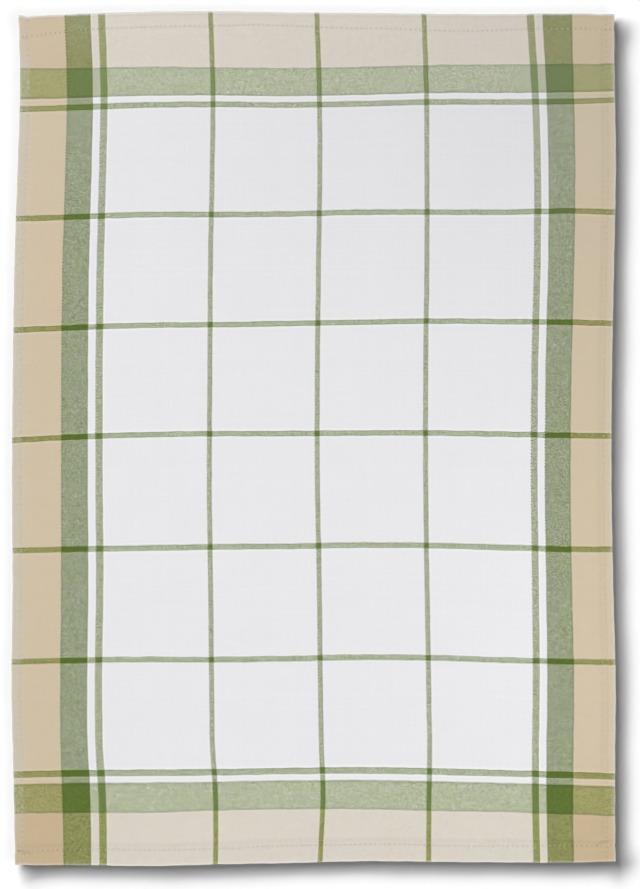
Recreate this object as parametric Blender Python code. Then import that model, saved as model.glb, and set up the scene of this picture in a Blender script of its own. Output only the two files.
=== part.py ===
"""Tea towel: one woven sheet with turned and stitched hems, lying flat with its face up.

Metres, +Z up. +X is the towel's right, +Y its top end, seen from above. The origin is the
middle of its underside. The sheet is one closed solid: a flat underside, a thin field, and
thicker hems on all four sides. Its edges and its woven lines wander a little, as in any
washed and pressed towel, and its face is slightly uneven.
"""

import math

import bmesh
import bpy
import numpy as np

MM = 0.001

# Finished size of the towel
WIDTH = 498.0 * MM
LENGTH = 705.0 * MM

# Thickness of the cloth where it is single, and what a hem's turned layers add
FIELD_THICKNESS = 1.0 * MM
HEM_RISE = 1.3 * MM
CORNER_LIMIT = 3.0 * MM

# Width of each hem, from the outer edge to its row of stitches
SIDE_HEM = 7.0 * MM
TOP_HEM = 10.5 * MM
FOOT_HEM = 13.0 * MM

# The folded edge is round: its widest point stands this high, and it turns in this far
EDGE_HEIGHT = 0.8 * MM
EDGE_TURN = 0.7 * MM
EDGE_SHARE = 0.55

# Across a hem: how far in from the stitches (plus) or from them to the edge (minus), and
# which share of the hem's rise is left there
STEP_PROFILE = (
    # from stitches, share of rise
    (-2.2 * MM, 1.00),
    (-0.8 * MM, 0.86),
    (0.0 * MM, 0.62),
    (0.9 * MM, 0.50),
    (2.4 * MM, 0.00),
)

# Spacing of the sheet's sections in the field
FIELD_SPACING = 15.0 * MM

# Places of the woven lines, measured on the flat cloth from its middle
LEFT_LINE = -176.7 * MM
CHECKS_ACROSS = (-84.8 * MM, 4.4 * MM, 93.7 * MM)
RIGHT_LINE = 183.7 * MM
TOP_LINE = 277.7 * MM
CHECKS_ALONG = (95.0 * MM, 3.1 * MM, -90.2 * MM)
FOOT_LINE = -277.1 * MM

# How far the lines that run down the towel wander sideways, in millimetres: a row for each
# section of its length, a column for each line
SIDE_DRIFT_COLUMNS = (-WIDTH / 2, LEFT_LINE, *CHECKS_ACROSS, RIGHT_LINE, WIDTH / 2)
SIDE_DRIFT = {
    # section: left edge, left line, check 1, check 2, check 3, right line, right edge
    352 * MM: (4.0, 0.5, -0.5, -2.0, -2.5, -3.5, 1.0),
    290 * MM: (4.5, 2.5, 1.0, 0.0, -0.5, -0.5, 1.0),
    230 * MM: (3.0, 1.5, 0.5, 0.5, 0.0, 1.5, 1.5),
    150 * MM: (1.0, -0.5, -1.0, -0.5, 0.0, 1.5, 1.0),
    60 * MM: (-0.5, -1.5, -1.5, -1.5, -1.0, -0.5, -1.5),
    -40 * MM: (-2.0, -1.5, -2.0, -1.5, -1.0, -1.0, -2.0),
    -120 * MM: (-1.5, -1.0, -1.0, 0.0, 0.0, 0.0, -1.0),
    -210 * MM: (-2.0, -2.0, 0.0, 1.0, 1.5, 1.0, 1.5),
    -290 * MM: (-0.5, 0.5, 2.5, 2.5, 1.5, 0.0, 2.0),
    -352 * MM: (0.5, 1.5, 3.0, 1.0, 1.0, 1.0, 2.0),
}

# How far the lines that run across the towel wander up or down, in millimetres: a row for
# each section of its width, a column for each line
END_DRIFT_COLUMNS = (LENGTH / 2, TOP_LINE, *CHECKS_ALONG, FOOT_LINE, -LENGTH / 2)
END_DRIFT = {
    # section: top edge, top line, check 1, check 2, check 3, foot line, foot edge
    -248 * MM: (-1.5, -3.5, -5.0, -4.5, -2.5, -1.0, -2.0),
    -200 * MM: (-0.5, -3.0, -3.0, -2.0, -1.5, -0.5, -1.5),
    -140 * MM: (1.5, -0.5, -1.0, 0.0, -0.5, 0.5, -2.0),
    -80 * MM: (2.0, 0.0, -0.5, 1.0, 0.5, 0.5, -0.5),
    -20 * MM: (1.0, -0.5, 0.5, 1.0, 1.0, 1.5, 0.5),
    40 * MM: (0.5, 0.5, 1.5, 1.5, 2.0, 2.0, 2.0),
    100 * MM: (-0.5, 1.5, 2.5, 1.5, 1.5, 1.5, 1.5),
    160 * MM: (-0.5, 1.5, 2.0, 0.5, 0.0, -0.5, 1.0),
    215 * MM: (0.0, 2.0, 1.5, -0.5, -1.5, -2.0, 1.5),
    248 * MM: (-0.5, 4.0, 0.5, -1.0, -1.5, -3.0, 2.5),
}

# Soft swells where the pressed cloth stands a little off the table, in millimetres and
# degrees: the middle across and along, half its length and width, its heading, its height
SWELLS = (
    # across, along, half length, half width, heading, height
    (-150.0, 235.0, 90.0, 26.0, 18.0, 0.40),
    (175.0, 215.0, 100.0, 30.0, 52.0, 0.55),
    (20.0, 150.0, 120.0, 34.0, -12.0, 0.30),
    (-60.0, -30.0, 150.0, 40.0, 64.0, 0.30),
    (130.0, -120.0, 120.0, 32.0, 28.0, 0.35),
    (-190.0, -235.0, 80.0, 24.0, -36.0, 0.45),
    (236.0, -322.0, 16.0, 5.0, 24.0, 0.60),
    (238.0, -296.0, 12.0, 4.0, 32.0, 0.45),
)

CLOTH_COLOR = (0.78, 0.78, 0.78, 1.0)
CLOTH_ROUGHNESS = 0.9


def clear_scene():
    for old in list(bpy.data.objects):
        bpy.data.objects.remove(old, do_unlink=True)


def cloth_material():
    material = bpy.data.materials.new("woven_cotton")
    material.use_nodes = True
    shader = material.node_tree.nodes["Principled BSDF"]
    shader.inputs["Base Color"].default_value = CLOTH_COLOR
    shader.inputs["Roughness"].default_value = CLOTH_ROUGHNESS
    shader.inputs["Metallic"].default_value = 0.0
    return material


def smooth_between(stations, values, at):
    """A smooth curve through values given at rising stations, read at the places in at."""
    stations, values = np.asarray(stations), np.asarray(values)
    slopes = np.gradient(values, stations, axis=0)
    at = np.clip(at, stations[0], stations[-1])
    left = np.clip(np.searchsorted(stations, at) - 1, 0, len(stations) - 2)
    span = stations[left + 1] - stations[left]
    t = (at - stations[left]) / span
    shape = (-1,) + (1,) * (values.ndim - 1)
    t, span = t.reshape(shape), span.reshape(shape)
    ease = t * t * (3.0 - 2.0 * t)
    bend = t * (1.0 - t) * span
    return (
        values[left] * (1.0 - ease)
        + values[left + 1] * ease
        + bend * ((1.0 - t) * slopes[left] - t * slopes[left + 1])
    )


def drift_grid(table, columns, sections, places):
    """Drift in metres, a row for each of the sections and a column for each of the places."""
    stations = sorted(table)
    rows = smooth_between(stations, [table[s] for s in stations], sections)
    order = np.argsort(columns)
    across = smooth_between(np.asarray(columns)[order], rows.T[order], places)
    return across.T * MM


def laid_out(across, along):
    """Where each point of the flat cloth lies: two grids, a row for each place along."""
    side = drift_grid(SIDE_DRIFT, SIDE_DRIFT_COLUMNS, along, across)
    end = drift_grid(END_DRIFT, END_DRIFT_COLUMNS, across, along).T
    x = across[None, :] + side
    y = along[:, None] + end
    x -= (x.min() + x.max()) / 2
    y -= (y.min() + y.max()) / 2
    return x, y


def hem_share(inset, hem):
    """Share of a hem's rise at each distance in from its edge."""
    distances = [hem + step for step, share in STEP_PROFILE]
    shares = [share for step, share in STEP_PROFILE]
    return np.interp(inset, distances, shares)


def edge_share(inset):
    """How much of the full height the rounded edge leaves at each distance in from it."""
    turn = np.clip(inset / (3.0 * EDGE_TURN), 0.0, 1.0)
    return EDGE_SHARE + (1.0 - EDGE_SHARE) * np.sqrt(1.0 - (1.0 - turn) ** 2)


def swell_height(x, y):
    height = np.zeros_like(x)
    for across, along, half_length, half_width, heading, top in SWELLS:
        dx, dy = x - across * MM, y - along * MM
        turn = math.radians(heading)
        run = (dx * math.cos(turn) + dy * math.sin(turn)) / (half_length * MM)
        rise = (dy * math.cos(turn) - dx * math.sin(turn)) / (half_width * MM)
        height += top * MM * np.exp(-run * run - rise * rise)
    return height


def face_height(x, y, from_side, from_top, from_foot):
    """Height of the face over each grid point, from its distances to the edges."""
    sides = hem_share(from_side, SIDE_HEM)[None, :]
    ends = np.maximum(hem_share(from_top, TOP_HEM), hem_share(from_foot, FOOT_HEM))[:, None]
    height = np.minimum(FIELD_THICKNESS + HEM_RISE * (sides + ends), CORNER_LIMIT)
    height = height + swell_height(x, y)
    from_end = np.minimum(from_top, from_foot)
    return height * edge_share(from_side)[None, :] * edge_share(from_end)[:, None]


def sections(length, near_hem, far_hem):
    """Places of the sheet's sections from edge to edge: close at the hems, even between."""

    def hem_places(hem):
        turned = (0.0, EDGE_TURN, 2.0 * EDGE_TURN)
        return list(turned) + [hem + step for step, share in STEP_PROFILE]

    near, far = hem_places(near_hem), hem_places(far_hem)
    count = round((length - near[-1] - far[-1]) / FIELD_SPACING)
    middle = np.linspace(near[-1], length - far[-1], count + 1)
    return np.concatenate([near[:-1], middle, [length - place for place in far[-2::-1]]])


def inward(ring, amount):
    """The closed ring of points moved in by amount along its own outward direction."""
    ahead, behind = np.roll(ring, -1, axis=0), np.roll(ring, 1, axis=0)
    along = ahead - behind
    along /= np.linalg.norm(along, axis=1, keepdims=True)
    return ring + amount * np.stack([-along[:, 1], along[:, 0]], axis=1)


def towel_mesh():
    """The closed sheet: the face, the rounded edge, and a flat underside."""
    from_left = sections(WIDTH, SIDE_HEM, SIDE_HEM)
    from_foot = sections(LENGTH, FOOT_HEM, TOP_HEM)
    x, y = laid_out(from_left - WIDTH / 2, from_foot - LENGTH / 2)
    from_side = np.minimum(from_left, WIDTH - from_left)
    z = face_height(x, y, from_side, LENGTH - from_foot, from_foot)
    rows, columns = x.shape

    mesh = bmesh.new()
    face = [
        [mesh.verts.new((x[r, c], y[r, c], z[r, c])) for c in range(columns)]
        for r in range(rows)
    ]
    for r in range(rows - 1):
        for c in range(columns - 1):
            mesh.faces.new((face[r][c], face[r][c + 1], face[r + 1][c + 1], face[r + 1][c]))

    rim = (
        face[0][:-1]
        + [row[-1] for row in face[:-1]]
        + face[-1][:0:-1]
        + [row[0] for row in face[:0:-1]]
    )
    outline = np.array([vert.co[:2] for vert in rim])
    widest = [mesh.verts.new((px, py, EDGE_HEIGHT)) for px, py in outline]
    foot = [mesh.verts.new((px, py, 0.0)) for px, py in inward(outline, EDGE_TURN)]
    for upper, lower in ((rim, widest), (widest, foot)):
        for i, vert in enumerate(upper):
            j = (i + 1) % len(upper)
            mesh.faces.new((vert, lower[i], lower[j], upper[j]))
    underside = mesh.faces.new(foot[::-1])
    bmesh.ops.triangulate(mesh, faces=[underside])
    return mesh


def build_towel():
    clear_scene()
    data = bpy.data.meshes.new("tea_towel")
    mesh = towel_mesh()
    mesh.to_mesh(data)
    mesh.free()
    data.materials.append(cloth_material())
    data.shade_smooth()
    data.set_sharp_from_angle(angle=math.radians(50.0))
    towel = bpy.data.objects.new("tea_towel", data)
    bpy.context.collection.objects.link(towel)


build_towel()
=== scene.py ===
"""Looks of a yarn-dyed tea towel, laid out flat, as a Blender add-on that is run as a script.

The cloth is one woven sheet. Its side hems are turned under twice and stitched, then its end
hems are turned under twice over them and stitched, so the mesh follows every layer. The green
bands, the check and the beige borders are woven: each yarn has its own colour, and where two
cross, the one on top is seen with a little of the other through it.
"""

import math
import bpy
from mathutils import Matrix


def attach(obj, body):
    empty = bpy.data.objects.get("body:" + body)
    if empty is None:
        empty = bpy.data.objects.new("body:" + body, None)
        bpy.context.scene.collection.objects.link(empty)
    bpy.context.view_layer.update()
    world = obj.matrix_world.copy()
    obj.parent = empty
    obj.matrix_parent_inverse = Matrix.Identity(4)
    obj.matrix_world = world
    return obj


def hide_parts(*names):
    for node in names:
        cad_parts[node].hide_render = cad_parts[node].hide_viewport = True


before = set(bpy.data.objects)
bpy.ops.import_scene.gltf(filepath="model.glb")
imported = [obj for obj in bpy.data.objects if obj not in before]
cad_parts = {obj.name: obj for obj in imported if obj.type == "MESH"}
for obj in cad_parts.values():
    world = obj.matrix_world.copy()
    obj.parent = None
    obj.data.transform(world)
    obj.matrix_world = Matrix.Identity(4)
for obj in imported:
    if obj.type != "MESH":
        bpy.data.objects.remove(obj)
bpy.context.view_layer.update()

from types import SimpleNamespace

import bpy
import numpy as np

bl_info = {
    "name": "Tea Towel",
    "version": (1, 0, 0),
    "blender": (4, 5, 0),
    "location": "View3D > Sidebar > Towel",
    "description": "Builds a woven tea towel with turned hems and its stitching",
    "category": "Object",
}

MM = 0.001

# ---------------------------------------------------------------- layout of the cloth

FINISHED_WIDTH = 498.0 * MM
FINISHED_LENGTH = 705.0 * MM

# Stripes of coloured yarn: the middle of each, from the middle of the towel, and its width
LEFT_BAND = -197.4 * MM
LEFT_LINE = -176.7 * MM
CHECKS_ACROSS = (-84.8 * MM, 4.4 * MM, 93.7 * MM)
RIGHT_LINE = 183.7 * MM
RIGHT_BAND = 203.8 * MM
TOP_LINE = 277.7 * MM
CHECKS_ALONG = (186.9 * MM, 95.0 * MM, 3.1 * MM, -90.2 * MM, -183.5 * MM)
FOOT_LINE = -277.1 * MM

WARP_STRIPES = {
    # yarns that run down the towel: (middle, width), each kind laid over the ones before
    "beige": (
        (-223.0 * MM, 53.0 * MM),
        (226.0 * MM, 46.0 * MM),
    ),
    "green": (
        (LEFT_BAND, 22.4 * MM),
        (RIGHT_BAND, 22.0 * MM),
    ),
    "line_green": (
        (LEFT_LINE, 5.9 * MM),
        *((check, 4.0 * MM) for check in CHECKS_ACROSS),
        (RIGHT_LINE, 5.6 * MM),
    ),
    "ecru": (
        (-258.0 * MM, 35.0 * MM),
        (263.3 * MM, 35.0 * MM),
    ),
}
WEFT_STRIPES = {
    # yarns that run across the towel: (middle, width)
    "sand": (
        (344.0 * MM, 90.0 * MM),
        (-345.0 * MM, 90.0 * MM),
    ),
    "leaf": (
        (297.25 * MM, 24.0 * MM),
        (-297.15 * MM, 24.3 * MM),
    ),
    "line_leaf": (
        (TOP_LINE, 4.9 * MM),
        *((check, 4.6 * MM) for check in CHECKS_ALONG),
        (FOOT_LINE, 5.2 * MM),
    ),
}

# How far the lines that run down the towel wander sideways, all in millimetres: a row for
# each section of its length, a column for each line
SIDE_DRIFT_COLUMNS = (
    -FINISHED_WIDTH / 2, LEFT_BAND, LEFT_LINE, *CHECKS_ACROSS,
    RIGHT_LINE, RIGHT_BAND + 11.0 * MM, FINISHED_WIDTH / 2,
)
SIDE_DRIFT = {
    # section: left edge, band, line, check 1, 2, 3, right line, edge of band, right edge
    352: (4.2, 1.3, 0.5, -1.0, -2.0, -2.5, -4.5, -0.9, -0.1),
    290: (5.2, 3.2, 2.5, 1.0, 0.0, -0.5, -0.5, 0.7, 0.4),
    230: (3.2, 2.1, 1.5, 0.5, 0.5, 0.0, 1.5, 2.0, 1.4),
    150: (0.6, -0.2, -0.5, -1.0, -0.5, 0.0, 1.5, 1.3, 0.0),
    60: (-0.8, -1.2, -1.5, -1.5, -1.5, -1.0, -0.5, -1.0, -1.8),
    -40: (-1.5, -1.3, -1.5, -2.0, -1.5, -1.0, -1.0, -1.9, -2.2),
    -120: (-1.0, -1.2, -1.0, -1.0, 0.0, 0.0, 0.0, -0.7, -0.8),
    -210: (-1.8, -2.0, -2.0, 0.0, 1.0, 1.5, 0.6, 1.0, 1.3),
    -258: (-0.8, -1.6, -1.3, 0.8, 1.8, 2.2, 0.0, 0.5, 0.8),
    -290: (0.0, -0.2, 0.8, 2.8, 3.0, 1.8, 0.0, 0.2, 0.8),
    -352: (1.2, 1.2, 2.0, 3.3, 0.8, 1.3, 1.0, 0.8, 0.9),
}

# How far the lines that run across the towel wander up or down, all in millimetres: a row
# for each section of its width, a column for each line
END_DRIFT_COLUMNS = (
    FINISHED_LENGTH / 2, 309.0 * MM, TOP_LINE, *CHECKS_ALONG[:4],
    FOOT_LINE, -310.0 * MM, -FINISHED_LENGTH / 2,
)
END_DRIFT = {
    # section: top edge, band, top line, check 1, 2, 3, 4, foot line, band, foot edge
    -248: (-2.5, -2.2, -4.6, -4.5, -5.0, -4.5, -2.5, -1.5, -1.5, -1.3),
    -200: (-0.5, -2.0, -3.0, -3.0, -3.0, -2.0, -1.5, -0.5, -1.0, -1.2),
    -140: (1.5, -1.0, -1.0, -1.0, -1.0, 0.0, -0.5, 0.0, -1.0, -2.0),
    -80: (2.0, -1.5, -0.5, -1.0, -0.5, 1.0, 0.5, 0.5, 1.0, -0.5),
    -20: (1.0, -2.0, -1.0, -0.5, 0.5, 1.0, 1.0, 1.5, 2.0, 0.5),
    40: (0.5, -1.0, 0.0, 1.0, 1.5, 1.5, 2.0, 2.0, 2.0, 2.0),
    100: (-0.2, 0.5, 1.5, 1.0, 2.5, 1.5, 1.5, 1.0, 0.5, 1.5),
    160: (-0.5, 1.0, 1.5, 1.0, 2.0, 0.5, 0.0, -0.5, -0.5, 1.0),
    215: (0.0, 1.5, 2.0, 2.0, 1.5, -0.5, -1.5, -2.0, -2.5, 1.0),
    248: (-0.5, 1.5, 3.0, 1.0, 0.5, -1.0, -1.5, -3.0, -3.5, 2.0),
}

# How far an end hem's row of stitches wanders from its depth, all in millimetres
ROW_DRIFT = {
    # section: top hem, foot hem
    -246: (5.4, -1.6),
    -227: (3.8, -1.0),
    -197: (1.1, -0.8),
    -165: (0.3, 0.1),
    -140: (0.0, -0.2),
    -110: (-0.3, -0.7),
    -72: (-0.9, -0.7),
    -44: (-2.1, 0.3),
    -18: (-1.6, 0.7),
    30: (0.3, 0.5),
    60: (0.5, 1.0),
    80: (1.3, 1.2),
    105: (2.3, 0.8),
    135: (2.6, 0.6),
    156: (2.0, 1.0),
    175: (1.2, 1.3),
    200: (1.0, 1.8),
    230: (1.2, 2.1),
    246: (1.4, 2.1),
}

# Brown ends of thread left at the corners, in millimetres and degrees
THREAD_ENDS = (
    # across, along, heading, length
    (-246.4, -340.0, 4.0, 3.2),
    (-244.4, -340.6, -24.0, 2.8),
    (-242.6, -341.0, 62.0, 2.6),
    (-242.2, -340.2, 4.0, 3.0),
    (-240.8, -342.6, 84.0, 2.0),
    (-239.6, -340.4, -38.0, 2.8),
    (-237.8, -341.8, 24.0, 3.0),
    (-236.4, -342.8, 66.0, 2.0),
    (-243.2, 334.6, 75.0, 2.4),
    (-241.0, 349.4, -15.0, 1.8),
)

# Broad soft patches of painted shade and painted light, darkest at the top right, and of dye worn
# paler
SOFT_SHADES_AND_WEAR = (
    # across, along and reach in millimetres, change of painted light, wear of the dye
    (250.0, 370.0, 250.0, -0.13, 0.045),
    (-60.0, 250.0, 140.0, -0.02, 0.0),
    (250.0, -180.0, 150.0, 0.045, 0.0),
    (-240.0, -270.0, 120.0, -0.015, 0.0),
    (-197.0, 346.0, 20.0, 0.0, 0.06),
)

# Where two dyed yarns cross, each colours the light that the other lends it: the change of
# red, green and blue at the foot end and at the top end
MEETINGS = (
    # warp, weft, at the foot, at the top
    ("green", "green", (0.60, 0.72, 0.52), (0.72, 0.84, 0.69)),
    ("green", "beige", (0.98, 0.95, 0.74), (0.97, 0.94, 0.74)),
    ("beige", "beige", (0.97, 0.95, 0.98), (1.03, 1.05, 1.17)),
    ("beige", "green", (0.93, 0.93, 0.90), (1.00, 1.01, 1.00)),
    ("white", "green", (1.00, 1.00, 0.95), (1.00, 1.00, 0.95)),
    ("line", "beige", (0.85, 0.90, 0.68), (0.93, 0.96, 0.90)),
)

# Near its corners the cloth looks evener: between these places in millimetres, by this share
CALM_ENDS = (
    # from, to, share
    (220.0, 285.0, 0.5),
    (-220.0, -285.0, 0.1),
)
CALM_SIDE = 172.0 * MM

# Painted highlight and shade lines along the hems, on the sides that they run along; at the rims
# the highlight is partly dye worn pale
HEM_LIGHT_AND_WEAR_LINES = (
    # side, inset and half width in millimetres, change of painted light, wear of the dye (at the
    # rims, part of the painted highlight)
    ("foot", 0.2, 1.2, 0.18, 0.25),
    ("foot", 2.7, 0.5, 0.015, 0.0),
    ("foot", 5.2, 0.5, 0.015, 0.0),
    ("foot", 6.0, 5.0, -0.022, 0.0),
    ("top", 0.3, 1.1, 0.08, 0.60),
    ("top", 2.8, 0.7, -0.055, 0.0),
    ("left", 0.3, 0.9, 0.06, 0.35),
    ("right", 0.3, 1.0, 0.07, 0.25),
    ("right", 7.2, 0.8, -0.045, 0.0),
)

# Painted shade and highlight lines of small creases at the foot's right corner, in millimetres and
# degrees
CREASE_SHADES = (
    # across, along, half length, half width, heading, change of painted light
    (238.6, -333.3, 6.5, 0.9, 11.0, -0.13),
    (237.0, -331.6, 6.5, 0.9, 11.0, 0.04),
    (234.5, -337.1, 3.5, 0.9, 10.0, -0.08),
    (239.9, -302.5, 4.0, 0.9, 45.0, -0.07),
    (230.5, -318.0, 9.0, 1.1, 78.0, -0.03),
)

# Soft swells and creases, in millimetres and degrees: the middle across and along, half the
# length and width, the heading, and the height (less than zero is a trough)
CREASES = (
    # across, along, half length, half width, heading, height
    (-150.0, 235.0, 90.0, 26.0, 18.0, 0.40),
    (175.0, 215.0, 100.0, 30.0, 52.0, 0.55),
    (20.0, 150.0, 120.0, 34.0, -12.0, 0.30),
    (-60.0, -30.0, 150.0, 40.0, 64.0, 0.30),
    (130.0, -120.0, 120.0, 32.0, 28.0, 0.35),
    (-190.0, -235.0, 80.0, 24.0, -36.0, 0.45),
    (238.0, -334.0, 7.0, 1.8, 17.0, -0.45),
    (236.0, -330.5, 9.0, 2.2, 17.0, 0.50),
    (240.0, -303.0, 6.0, 1.8, 34.0, -0.35),
    (237.0, -300.5, 8.0, 2.4, 30.0, 0.40),
    (-240.0, -341.5, 6.0, 1.6, -8.0, -0.35),
    (-214.0, 338.0, 10.0, 2.6, 74.0, 0.20),
    (219.0, 336.0, 12.0, 2.8, 62.0, 0.25),
)

# Waves: the length of each in millimetres, its phase, and its height in millimetres. First
# long, low ones that no pressing takes out, with their headings in degrees
RIPPLES = (
    # heading, length, phase, height
    (8.0, 61.0, 0.4, 0.035),
    (-27.0, 43.0, 1.9, 0.025),
    (71.0, 88.0, 2.7, 0.045),
    (112.0, 54.0, 5.1, 0.025),
    (39.0, 133.0, 3.3, 0.05),
)

# Small ones that the stitching draws into a hem
PUCKERS = (
    (11.3, 0.7, 0.09),
    (17.9, 2.3, 0.10),
    (7.1, 4.4, 0.05),
)

# Small wobbles of the outline, at the sides and at the ends
SIDE_WOBBLES = ((11.938, 0.0, 0.10), (27.0177, 1.0, 0.12))
END_WOBBLES = ((13.1947, 0.0, 0.10), (32.0442, 2.0, 0.12))

# Pulls of the sewing on the outline, and their reaches. The sides flare past an end hem's row
# and are pinched at it. At the top the side hems stand out as tabs, with a dip beside each
FLARE, PINCH, PINCH_REACH, SIDE_REACH = 0.10 * MM, 0.35 * MM, 2.2 * MM, 6.0 * MM
LEFT_TAB, RIGHT_TAB, TAB_SIDE = 0.9 * MM, 0.1 * MM, (4.0 * MM, 6.5 * MM)
DIP, DIP_INSET, DIP_REACH, END_REACH = 0.30 * MM, 11.0 * MM, 4.0 * MM, 8.0 * MM

# How near to its row of stitches a hem is pressed and puckered, and where its face goes down
PRESS_REACH, PUCKER_REACH, RISE_START = 0.9 * MM, 4.0 * MM, 0.3 * MM

# How far past an end hem a corner is pressed, and a lift that keeps the puckers off the table
CORNER_REACH, PUCKER_LIFT = 8.0 * MM, 0.15 * MM

# Kinds of yarn that are green, the width up to which a stripe of them is a line, and how the
# yarns beside it look paler: from this far off, for this share of its own darker rim
GREENS = ("green", "line_green", "leaf", "line_leaf")
WIDEST_LINE = 10.0 * MM
BESIDE_GAP = 0.3 * MM
BESIDE_SHARE = 0.7

# Section of a yarn in the weave: how its body rounds off and how high it is, how far it waves,
# and how sharply one yarn ends at another
YARN_ROUND, YARN_BODY, YARN_WAVE, YARN_EDGE = 3.6, 0.6, 0.5, 5.0

# Noises of the cloth. A grain is the number of its spots in a metre
WAVER_ACROSS = (55.0, 0.7 * MM)  # grain, and how far a yarn wavers
WAVER_ALONG = (80.0, 1.2 * MM)
COVER_GRAIN = (740.0, 640.0, 1.0)  # across, along, detail
DYE_GRAIN = (760.0, 1040.0, 0.0)
GRAIN_SKEW = 330.0
PATCH_GRAIN, FIBRE_GRAIN, CLOUD_GRAIN = 85.0, 5200.0, 26.0
SLUB_GRAIN, SLUB_APART = 60.0, 7.31

# Yarns from one step of a band's edge to the next, and how much it shows in its darker rim
STEP_YARNS, STEP_RIM = 2.9, 0.6

# How much fibres and clouds from washing vary its tone, and the painted shade between the yarns'
# crowns and in a row's groove
FIBRE_SHADE, CLOUD_SHADE, CROWN_SHADE, GROOVE_SHADE = 0.03, 0.025, 0.04, 0.02
MEAN_CROWN = 0.875

# How far uneven dye shows where the weft is green, how much less where both are green, and
# how red a patch is for its blue
WEFT_UNEVEN, BOTH_UNEVEN, PATCH_RED = 0.8, 1.25, 0.5

# Relief of the crowns, the thick and thin stretches, the fibres and the needle holes
CROWN_RELIEF, SLUB_RELIEF, FIBRE_RELIEF, HOLE_RELIEF = 0.10 * MM, 0.03 * MM, 0.02 * MM, 0.6 * MM

# Twists of the sewing thread along a stitch and round it, and how much each shades it
THREAD_TWISTS, TWIST_SHADE, THREAD_SHADE = (9.0, 2.0), 0.05, 0.08

# Where the selvedge fades into the beige and where the dyes get paler, from and to
WORN_IN_ENDS = (305.0 * MM, 335.0 * MM)
PALER_END = (100.0 * MM, 330.0 * MM)
# Colour that worn dye fades to, which also paints the highlight on the hems' rims
WEAR_AND_HIGHLIGHT_COLOUR = (0.94, 0.94, 0.94)

# Reach of a needle hole and of the groove that a row of stitches lies in
HOLE_REACH, GROOVE_REACH = 0.62 * MM, 1.1 * MM

# Sheet segments of a hem, from its face round to its raw edge
SEGMENTS = FACE, OUTER_TURN, UNDER, INNER_TURN, TUCKED = range(5)


# ---------------------------------------------------------------- settings

def length_setting(name, description, default):
    return bpy.props.FloatProperty(
        name=name, description=description, default=default, min=0.0, subtype="DISTANCE"
    )


def share_setting(name, description, default, top=1.0):
    return bpy.props.FloatProperty(
        name=name, description=description, default=default, min=0.0, max=top, subtype="FACTOR"
    )


def plain_setting(name, description, default):
    return bpy.props.FloatProperty(name=name, description=description, default=default)


def count_setting(name, description, default):
    return bpy.props.IntProperty(name=name, description=description, default=default, min=0)


def colour_setting(name, description, default):
    return bpy.props.FloatVectorProperty(
        name=name, description=description, default=default,
        min=0.0, max=1.0, size=3, subtype="COLOR",
    )


class TowelCloth(bpy.types.PropertyGroup):
    """Sizes of the sheet and its hems."""

    layer: length_setting("Layer", "Room that one layer of cloth takes up", 0.6 * MM)
    body: share_setting("Body", "Share of that room that the yarns fill", 0.8)
    lift: length_setting("Lift", "Height of the lowest layer over the table", 0.4 * MM)
    side_hem: length_setting("Side Hem", "Side edge to its row of stitches", 7.0 * MM)
    top_hem: length_setting("Top Hem", "Top edge to its row of stitches", 12.0 * MM)
    foot_hem: length_setting("Foot Hem", "Foot edge to its row of stitches", 13.4 * MM)
    overlap: length_setting("Overlap", "Inner fold of a hem past its stitches", 1.3 * MM)
    tuck: length_setting("Tuck", "Cloth turned in at a hem's raw edge", 5.0 * MM)
    step: length_setting("Step", "Run of the face down from a hem to the field", 5.0 * MM)
    spacing: length_setting("Spacing", "Mesh spacing in the field", 4.2 * MM)
    fine_spacing: length_setting("Fine Spacing", "Mesh spacing next to the hems", 1.1 * MM)
    corner_press: share_setting("Corner Press", "Bulk left in the pressed corners", 0.2)
    stitch_press: share_setting("Stitch Press", "How far stitches press a hem", 0.18)


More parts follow.
